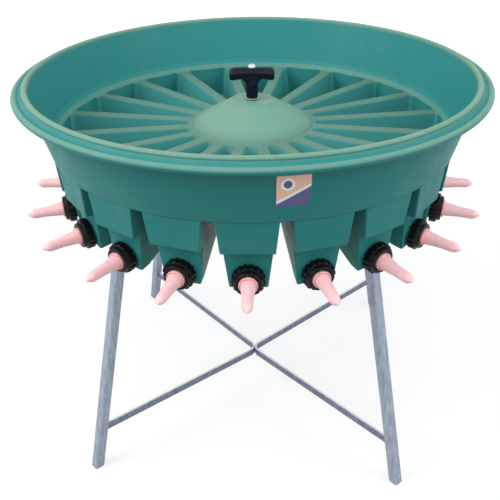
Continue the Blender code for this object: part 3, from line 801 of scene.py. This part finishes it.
def rim_section():
    # From the ledge's foot over the rim to the belt's foot.
    lip = arc(LIP_CENTRE, LIP_BEAD, 170.0, -12.0, 12)
    rim = arc(RIM_CENTRE, RIM_BEAD, 118.0, -112.0, 14)
    wall_foot = (DISH_WALL_FOOT_RADIUS, DISH_WALL_FOOT_Z)
    section = [(LEDGE_RADIUS, RIB_TOP_Z), wall_foot]
    section += between(wall_foot, lip[0], (0.25, 0.5, 0.75))
    section += lip
    section += [(0.5278, 0.9286), (0.5300, 0.9262), (0.5330, 0.9254), (0.5362, 0.9262)]
    section += rim
    section += [(0.5300, 0.9112), (0.5190, 0.9062), (0.5146, 0.9030)]
    foot = BELT_FOOT_RADIUS
    section += between((foot, BELT_FOOT_Z), (BELT_TOP_RADIUS, BELT_TOP_Z),
                       (0.96, 0.75, 0.5, 0.25, 0.08))
    section += [(foot + 0.0004, BELT_FOOT_Z + 0.0022), (foot - 0.0001, BELT_FOOT_Z + 0.0006),
                (BELT_FOOT_CORNER, BELT_FOOT_Z)]
    return fillet(section, {1: 0.008}, 4)


def cone_section():
    under = CONE_TOP_Z - WALL
    points = [(CONE_FOOT_RADIUS, RIB_TOP_Z), (CONE_FOOT_RADIUS - 0.004, RIB_TOP_Z + 0.0043),
              (CONE_TOP_RADIUS, CONE_TOP_Z), (ROD_HOLE_RADIUS, CONE_TOP_Z),
              (ROD_HOLE_RADIUS, under), (CONE_TOP_RADIUS - 0.001, under),
              (CONE_UNDER_RADIUS, PLATE_UNDER_Z)]
    return fillet(points, {1: 0.012, 2: 0.009}, 5)


def ring_strip(data, section, angles):
    rings = [[data.verts.new((radius * math.sin(a), -radius * math.cos(a), z)) for a in angles]
             for radius, z in section]
    for ring, following in zip(rings, rings[1:]):
        join_loops(data, ring, following)


def build_bowl(material):
    data = bmesh.new()
    for verts, faces in (inside_cell(), outside_cell()):
        for index in range(COMPARTMENTS):
            turn = facing_out(SECTOR * index)
            made = [data.verts.new(turn @ Vector(v)) for v in verts]
            for face in faces:
                data.faces.new([made[i] for i in face])
    angles = [SECTOR * (index + step / (2 * FRONT_HALF) - 0.5)
              for index in range(COMPARTMENTS) for step in range(2 * FRONT_HALF)]
    ring_strip(data, rim_section(), angles)
    ring_strip(data, cone_section(), angles)
    bmesh.ops.remove_doubles(data, verts=data.verts, dist=3e-5)
    turn_outward(data)
    for index in range(COMPARTMENTS):
        spigot = lathe([(SPIGOT_BORE, -WALL / 2.0), (SPIGOT_RADIUS + 0.002, -WALL / 2.0),
                        (SPIGOT_RADIUS + 0.002, 0.0008), (SPIGOT_RADIUS, 0.0022),
                        (SPIGOT_RADIUS, SPIGOT_LENGTH), (SPIGOT_BORE, SPIGOT_LENGTH)], 32)
        add_piece(data, spigot, outlet_matrix(index))
    bowl = from_bmesh("bowl_shell", data, material, 50)
    weighted = bowl.modifiers.new("even_shading", "WEIGHTED_NORMAL")
    weighted.keep_sharp = True
    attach(bowl, "bowl")
    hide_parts("milk_bowl")


# Nuts and teats

def outlet_matrix(index):
    tilt_angle = math.atan2(STEP_RADIUS - STEP_SET_BACK - POD_FOOT_RADIUS, STEP_Z - POD_FOOT_Z)
    place = Matrix.Translation((lower_front(OUTLET_Z), 0.0, OUTLET_Z))
    tilt = Matrix.Rotation(math.pi / 2.0 + tilt_angle, 4, "Y")
    return facing_out(SECTOR * index) @ place @ tilt


def nut_mesh():
    lug_end = NUT_START + NUT_LUG_LENGTH
    ring_end = lug_end + NUT_RING_LENGTH
    bore = SPIGOT_RADIUS + 0.0004
    lug_top = NUT_START + 0.0165
    profile = [
        (bore, NUT_START), (NUT_RADIUS - 0.0012, NUT_START), (NUT_RADIUS, NUT_START + 0.0012),
        (NUT_RADIUS, lug_top - 0.0012), (NUT_RADIUS - 0.0012, lug_top),
        (0.0303, lug_top + 0.0004), (0.0298, lug_top + 0.0016), (0.0294, lug_end - 0.0006),
        (0.0290, lug_end + 0.0010), (0.0284, ring_end - 0.0018), (0.0274, ring_end - 0.0006),
        (0.0258, ring_end), (0.0225, ring_end - 0.0004), (0.0206, ring_end - 0.0016),
        (0.0197, ring_end - 0.0030), (0.0197, SPIGOT_LENGTH + 0.0040),
        (bore, SPIGOT_LENGTH + 0.0040)]

    def reshape(radius, z, angle):
        if radius < 0.0310 or z > lug_top + 0.0001:
            return radius
        phase = (angle * NUT_LUGS / (2.0 * math.pi)) % 1.0
        rise = min(max((0.5 - abs(phase - 0.5) - 0.12) / 0.09, 0.0), 1.0)
        rise = rise * rise * (3.0 - 2.0 * rise)
        return radius - NUT_LUG_DEPTH * (1.0 - rise)
    return lathe(profile, NUT_LUGS * 8, radius_at=reshape)


def teat_mesh():
    start = SPIGOT_LENGTH + GAP
    collar = NUT_START + NUT_LUG_LENGTH + NUT_RING_LENGTH + GAP
    tip = collar + TEAT_REACH
    profile = [(0.0110, start), (0.0234, start), (0.0234, start + 0.0034),
               (0.0186, start + 0.0034), (0.0186, collar - 0.0012)]
    profile += [(radius, collar + rise) for radius, rise in (
        (0.0192, -0.0002), (0.0197, 0.0008), (0.0199, 0.0022), (0.0197, 0.0034),
        (0.0190, 0.0042), (0.0181, 0.0043), (0.0173, 0.0036), (0.0166, 0.0031),
        (0.0161, 0.0040), (0.0159, 0.0064), (0.0155, 0.0110), (0.0144, 0.0190),
        (0.0132, 0.0280), (0.0123, 0.0380), (0.0117, 0.0480), (0.0114, 0.0580),
        (0.0113, 0.0660), (0.0107, 0.0710), (0.0092, 0.0750), (0.0073, 0.0780),
        (0.0054, 0.0806), (0.0038, 0.0826), (0.0026, 0.0840))]
    profile += [(0.0016, tip - 0.0004), (0.0007, tip), (0.0003, tip - 0.0002),
                (0.0003, tip - 0.004), (0.0003, tip - 0.0195), (0.0, tip - 0.020)]
    return lathe(profile, 36)


def build_outlets(nut_material, teat_material):
    nut = from_bmesh("collar_nut_look_01", nut_mesh(), nut_material, 32)
    teat = from_bmesh("teat_look_01", teat_mesh(), teat_material, 60)
    for index in range(COMPARTMENTS):
        number = f"{index + 1:02d}"
        for first, kind, slot in ((nut, "collar_nut", "black_nylon"),
                                  (teat, "teat", "teat_rubber")):
            item = first
            if index:
                item = linked(f"{kind}_look_{number}", first.data)
            spin = Matrix.Rotation(math.radians(7.0 * (index * 7 % 5)), 4, "Z")
            item.matrix_world = outlet_matrix(index) @ spin
            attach(item, "bowl")
            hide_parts(f"{kind}_{number}")


# Stand

def stand_turn(index):
    return facing_out(STAND_YAW + math.pi / 4.0 + math.pi / 2.0 * index)


def arm_centre_z(radius):
    return floor_z(radius) - ARM_SEAT - TUBE / 2.0 / math.cos(FLOOR_SLOPE)


def rounded_rectangle(half_x, half_y, corner, steps):
    points = []
    for quarter, (sx, sy) in enumerate(((1, 1), (-1, 1), (-1, -1), (1, -1))):
        for step in range(steps + 1):
            angle = math.pi / 2.0 * (quarter + step / steps)
            points.append((sx * (half_x - corner) + corner * math.cos(angle),
                           sy * (half_y - corner) + corner * math.sin(angle)))
    return points


def tube_mesh(start, start_normal, end, end_normal):
    axis = (end - start).normalized()
    across = Vector((0.0, 1.0, 0.0))
    side = axis.cross(across).normalized()
    data = bmesh.new()
    loops = []
    for half, corner in ((TUBE / 2.0, TUBE_CORNER),
                         (TUBE / 2.0 - TUBE_WALL, TUBE_CORNER - TUBE_WALL)):
        for point, normal in ((start, start_normal), (end, end_normal)):
            loop = []
            for a, b in rounded_rectangle(half, half, corner, 5):
                spot = start + side * a + across * b
                along = (point - spot).dot(normal) / axis.dot(normal)
                loop.append(data.verts.new(spot + axis * along))
            loops.append(loop)
    outer_start, outer_end, inner_start, inner_end = loops
    for first, second in ((outer_start, outer_end), (inner_start, inner_end),
                          (outer_start, inner_start), (outer_end, inner_end)):
        join_loops(data, first, second)
    turn_outward(data)
    return data


def build_stand(material):
    corner = Vector((KNEE_RADIUS, 0.0, arm_centre_z(KNEE_RADIUS)))
    foot = Vector((KNEE_RADIUS + LEG_LEAN * corner.z, 0.0, 0.0))
    inner_end = Vector((ARM_INNER_RADIUS, 0.0, arm_centre_z(ARM_INNER_RADIUS)))
    mitre = ((corner - foot).normalized() + (inner_end - corner).normalized()).normalized()
    flat = Vector((0.0, 0.0, 1.0))
    upright = Vector((1.0, 0.0, 0.0))
    for index in range(4):
        for name, start, start_normal, end, end_normal in (
                ("leg", foot, flat, corner, mitre), ("top_arm", corner, mitre, inner_end, upright)):
            number = index + 1
            tube = tube_mesh(start, start_normal, end, end_normal)
            item = from_bmesh(f"{name}_look_{number}", tube, material, 35)
            item.matrix_world = stand_turn(index)
            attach(item, "stand")
            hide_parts(f"{name}_{number}")


def brace_path(first_leg):
    # Centre line of one bar: from a leg, round a bend beside the stand's middle, to the next leg.
    knee_z = arm_centre_z(KNEE_RADIUS)
    end_radius = (KNEE_RADIUS + LEG_LEAN * (knee_z - BRACE_END_Z)
                  - TUBE / 2.0 / math.cos(math.atan(LEG_LEAN)) - GAP)
    ends = [stand_turn(index) @ Vector((end_radius, 0.0, BRACE_END_Z))
            for index in (first_leg, first_leg + 1)]
    centre = BRACE_THICKNESS / 2.0 + GAP / 2.0 + BRACE_BEND_RADIUS
    across = centre - end_radius * math.cos(math.pi / 4.0)
    along = end_radius * math.sin(math.pi / 4.0)
    half_turn = math.atan2(along, across) - math.acos(BRACE_BEND_RADIUS / math.hypot(across, along))
    middle = facing_out(STAND_YAW + math.pi / 2.0 * (first_leg + 1))
    bends = []
    for index in range(BRACE_BEND_STEPS + 1):
        angle = half_turn * (2.0 * index / BRACE_BEND_STEPS - 1.0)
        bends.append(middle @ Vector((centre - BRACE_BEND_RADIUS * math.cos(angle),
                                      BRACE_BEND_RADIUS * math.sin(angle), BRACE_BEND_Z)))
    return [ends[0], *bends, ends[1]]


def build_braces(material):
    section = rounded_rectangle(BRACE_THICKNESS / 2.0, BRACE_HEIGHT / 2.0, 0.0016, 3)
    for number, first_leg in ((1, 0), (2, 2)):
        path = brace_path(first_leg)
        data = bmesh.new()
        loops = []
        headings = [Vector((b.x - a.x, b.y - a.y, 0.0)).normalized() for a, b in zip(path, path[1:])]
        for point, before, after in zip(path, headings[:1] + headings, headings + headings[-1:]):
            heading = (before + after).normalized()
            side = Vector((-heading.y, heading.x, 0.0)) / heading.dot(after)
            rise = Vector((0.0, 0.0, 1.0))
            if point in (path[0], path[-1]):
                # The end face leans with the leg that it is welded to.
                rise -= Vector((point.x, point.y, 0.0)).normalized() * LEG_LEAN
            loops.append([data.verts.new(point + side * a + rise * b) for a, b in section])
        for first, second in zip(loops, loops[1:]):
            join_loops(data, first, second)
        data.faces.new(loops[0])
        data.faces.new(loops[-1])
        turn_outward(data)
        brace = from_bmesh(f"floor_brace_look_{number}", data, material, 40)
        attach(brace, "stand")
        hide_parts(f"floor_brace_{number}")


# Sticker

def build_label(material):
    # A film that follows the smooth belt.
    columns, rows = 12, 4
    border = [(0, step) for step in range(columns)] + [(row, columns) for row in range(rows)]
    border += [(rows, columns - step) for step in range(columns)]
    border += [(rows - row, 0) for row in range(rows)]
    data = bmesh.new()
    borders = []
    for lift in LABEL_LIFTS:
        sheet = []
        for row in range(rows + 1):
            z = mix(LABEL_LOW_Z, LABEL_HIGH_Z, row / rows)
            share = (z - BELT_FOOT_Z) / (BELT_TOP_Z - BELT_FOOT_Z)
            radius = mix(BELT_FOOT_RADIUS, BELT_TOP_RADIUS, share) + lift
            angles = [mix(LABEL_START, LABEL_END, step / columns) for step in range(columns + 1)]
            sheet.append([data.verts.new((radius * math.sin(a), -radius * math.cos(a), z))
                          for a in angles])
        borders.append([sheet[row][step] for row, step in border])
        for row in range(rows):
            for step in range(columns):
                data.faces.new([sheet[row][step], sheet[row][step + 1],
                                sheet[row + 1][step + 1], sheet[row + 1][step]])
    join_loops(data, *borders)
    turn_outward(data)
    label = from_bmesh("belt_label_look", data, material, 40)
    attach(label, "bowl")
    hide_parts("belt_label")


# T-handle, the rings under it and the dome nut on it

def build_grip(material):
    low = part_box("t_handle_grip")[0][2]
    half = GRIP_LENGTH / 2.0 - 0.0004
    ends = GRIP_RADIUS + GRIP_SWELL
    end = [(GRIP_RADIUS * 0.985, half * 0.33), (ends * 0.985, half * 0.66),
           (ends, half - 0.0090), (ends * 0.94, half - 0.0042), (ends * 0.78, half - 0.0012),
           (ends * 0.52, half), (0.0, half)]
    bar = lathe([(r, -z) for r, z in reversed(end)] + [(GRIP_RADIUS * 0.97, 0.0)] + end, 40)
    turn = Matrix.Translation((0.0, 0.0, GRIP_Z)) @ Matrix.Rotation(math.pi / 2.0, 4, "Y")
    bmesh.ops.transform(bar, matrix=turn, verts=bar.verts)
    for vert in bar.verts:
        vert.co.z += 0.0008 - GRIP_DROOP * (vert.co.x / half) ** 2
    under = GRIP_Z - GRIP_RADIUS
    centre = (STEM_RADIUS + FLARE_RADIUS, under + 0.0035 - FLARE_RADIUS)
    flare = arc(centre, FLARE_RADIUS, 180.0, 96.0, 8)
    stem = lathe([(0.0, low), (STEM_RADIUS - 0.0004, low), (STEM_RADIUS, low + 0.0008), *flare,
                  (flare[-1][0], under + 0.0060), (0.0, under + 0.012)], 40)
    for vert in stem.verts:
        if vert.co.z > centre[1]:
            share = min((vert.co.z - centre[1]) / (under - centre[1]), 1.0)
            limit = mix(STEM_RADIUS, GRIP_RADIUS * 0.86, share)
            vert.co.y = max(min(vert.co.y, limit), -limit)
    merged = bmesh.new()
    for piece in (bar, stem):
        add_piece(merged, piece, Matrix())
    grip = from_bmesh("grip_look", merged, material)
    remesh = grip.modifiers.new("one_skin", "REMESH")
    remesh.mode = "VOXEL"
    remesh.voxel_size = GRIP_VOXEL
    remesh.use_smooth_shade = True
    relax = grip.modifiers.new("soften", "SMOOTH")
    relax.factor = 0.5
    relax.iterations = 8
    apply_modifiers(grip)
    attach(grip, "t_handle")
    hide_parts("t_handle_grip")


def build_rings(seal_material, steel_material):
    # The seal on the cone and the thrust ring over it, with broken edges.
    for node, name, outer, material, slot, body in (
            ("apex_seal", "apex_seal_look", SEAL_RADIUS, seal_material, "seal_rubber", "bowl"),
            ("clamp_washer", "clamp_washer_look", THRUST_RING_RADIUS, steel_material,
             "bright_steel", "clamp_washer")):
        low, high = (corner[2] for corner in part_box(node))
        flat = outer - RING_EDGE
        ring = lathe([(ROD_HOLE_RADIUS, low), (flat, low), (outer, low + RING_EDGE),
                      (outer, high - RING_EDGE), (flat, high), (ROD_HOLE_RADIUS, high)], 40)
        item = from_bmesh(name, ring, material, 40)
        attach(item, body)
        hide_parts(node)


def build_dome(material):
    low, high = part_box("dome_nut")
    radius = (high[0] - low[0]) / 2.0
    base, height = low[2], high[2] - low[2]
    profile = [(0.0062, base), (radius - 0.0004, base), (radius, base + 0.0005)]
    for step in range(8):
        angle = math.radians(90.0 * step / 8)
        profile.append((radius * math.cos(angle) ** 0.8,
                        base + height * (0.30 + 0.70 * math.sin(angle))))
    profile += [(0.0, high[2]), (0.0, base + height * 0.62), (0.0062, base + height * 0.60)]
    dome = from_bmesh("dome_nut_look", lathe(profile, 32), material, 40)
    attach(dome, "t_handle")
    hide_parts("dome_nut")


# Stage

def look_matrix():
    sin_yaw, cos_yaw = math.sin(CAMERA_YAW), math.cos(CAMERA_YAW)
    ahead = Vector((sin_yaw * math.cos(CAMERA_PITCH), cos_yaw * math.cos(CAMERA_PITCH),
                    -math.sin(CAMERA_PITCH)))
    right = Vector((cos_yaw, -sin_yaw, 0.0))
    down = ahead.cross(right)
    across = right * math.cos(CAMERA_ROLL) + down * math.sin(CAMERA_ROLL)
    below = down * math.cos(CAMERA_ROLL) - right * math.sin(CAMERA_ROLL)
    turn = Matrix((across, -below, -ahead)).transposed().to_4x4()
    return Matrix.Translation(CAMERA_PLACE) @ turn


def build_camera():
    lens = bpy.data.cameras.new("camera")
    lens.lens = CAMERA_LENS_MM
    lens.sensor_width = CAMERA_SENSOR_MM
    camera = linked("camera", lens)
    camera.matrix_world = look_matrix()
    bpy.context.scene.camera = camera


def build_floor():
    mesh = bpy.data.meshes.new("studio_floor")
    mesh.from_pydata([(x * FLOOR_HALF, y * FLOOR_HALF, 0.0)
                      for x, y in ((-1, -1), (1, -1), (1, 1), (-1, 1))], [], [(0, 1, 2, 3)])
    floor = linked("studio_floor", mesh)
    material, tree, shader = new_material("studio_floor")
    set_inputs(shader, Base_Color=(*FLOOR_COLOUR, 1.0), Roughness=0.9, Specular_IOR_Level=0.1)
    glow = add_node(tree, "ShaderNodeEmission")
    set_inputs(glow, Color=(*FLOOR_LIFT, 1.0))
    # The glow grows away from the object, so the floor near it is painted darker: painted shade
    # round the object.
    painted_shade_ramp = ranged(tree, radius_out(tree), 1.0, 4.0, 1.0, 1.45)
    tree.links.new(times(tree, seen_ray(tree), painted_shade_ramp), glow.inputs["Strength"])
    total = add_node(tree, "ShaderNodeAddShader")
    tree.links.new(shader.outputs["BSDF"], total.inputs[0])
    tree.links.new(glow.outputs["Emission"], total.inputs[1])
    tree.links.new(total.outputs["Shader"], tree.nodes["Material Output"].inputs["Surface"])
    floor.data.materials.append(material)


def build_world():
    world = bpy.data.worlds.new("studio")
    bpy.context.scene.world = world
    world.use_nodes = True
    tree = world.node_tree
    light = tree.nodes["Background"]
    set_inputs(light, Color=(*WORLD_TINT, 1.0))
    height = split_xyz(tree, add_node(tree, "ShaderNodeTexCoord").outputs["Generated"])["Z"]
    tree.links.new(ranged(tree, height, 0.0, 1.0, WORLD_AT_HORIZON, WORLD_OVERHEAD, smooth=False),
                   light.inputs["Strength"])
    shown = add_node(tree, "ShaderNodeBackground")
    set_inputs(shown, Color=(1.0, 1.0, 1.0, 1.0), Strength=1.0)
    choice = add_node(tree, "ShaderNodeMixShader")
    tree.links.new(seen_ray(tree), choice.inputs["Fac"])
    tree.links.new(light.outputs["Background"], choice.inputs[1])
    tree.links.new(shown.outputs["Background"], choice.inputs[2])
    tree.links.new(choice.outputs["Shader"], tree.nodes["World Output"].inputs["Surface"])


def add_lamp(name, place, power, size, colour):
    lamp = bpy.data.lights.new(name, "AREA")
    lamp.energy = power
    lamp.shape = "SQUARE"
    lamp.size = size
    lamp.color = colour
    item = linked(name, lamp)
    item.location = place
    item.rotation_euler = (Vector(LAMP_TARGET) - item.location).to_track_quat("-Z", "Y").to_euler()


def dress_cad_nodes(materials):
    slots = {part["node"]: part["material_slot"] for part in frame["record"]["subparts"]}
    for name, node in frame["nodes"].items():
        material = materials.get(slots.get(name))
        if material is not None:
            node.data.materials.clear()
            node.data.materials.append(material)


def build_scene():
    bpy.context.scene.view_settings.view_transform = "Standard"
    materials = {
        "moulded_plastic": moulded_plastic(),
        "black_nylon": black_nylon("black_nylon", srgb(8, 9, 12), srgb(15, 15, 19)),
        "teat_rubber": teat_rubber(),
        "galvanised_steel": galvanised_steel("galvanised_steel", srgb(134, 145, 163),
                                             srgb(160, 171, 186)),
        "bright_steel": bright_steel(), "seal_rubber": seal_rubber(), "label_film": label_film()}
    dress_cad_nodes(materials)
    build_bowl(materials["moulded_plastic"])
    build_outlets(materials["black_nylon"], materials["teat_rubber"])
    build_stand(materials["galvanised_steel"])
    # The floor braces take a darker copy of the galvanised steel: painted shade.
    build_braces(galvanised_steel("galvanised_bar_painted_shade", srgb(100, 110, 131), srgb(126, 136, 155)))
    build_label(materials["label_film"])
    build_grip(black_nylon("handle_nylon", srgb(12, 16, 30), srgb(24, 28, 46)))
    build_rings(materials["seal_rubber"], materials["bright_steel"])
    build_dome(materials["bright_steel"])
    build_camera()
    build_floor()
    build_world()
    for lamp in LAMPS:
        add_lamp(*lamp)


build_scene()
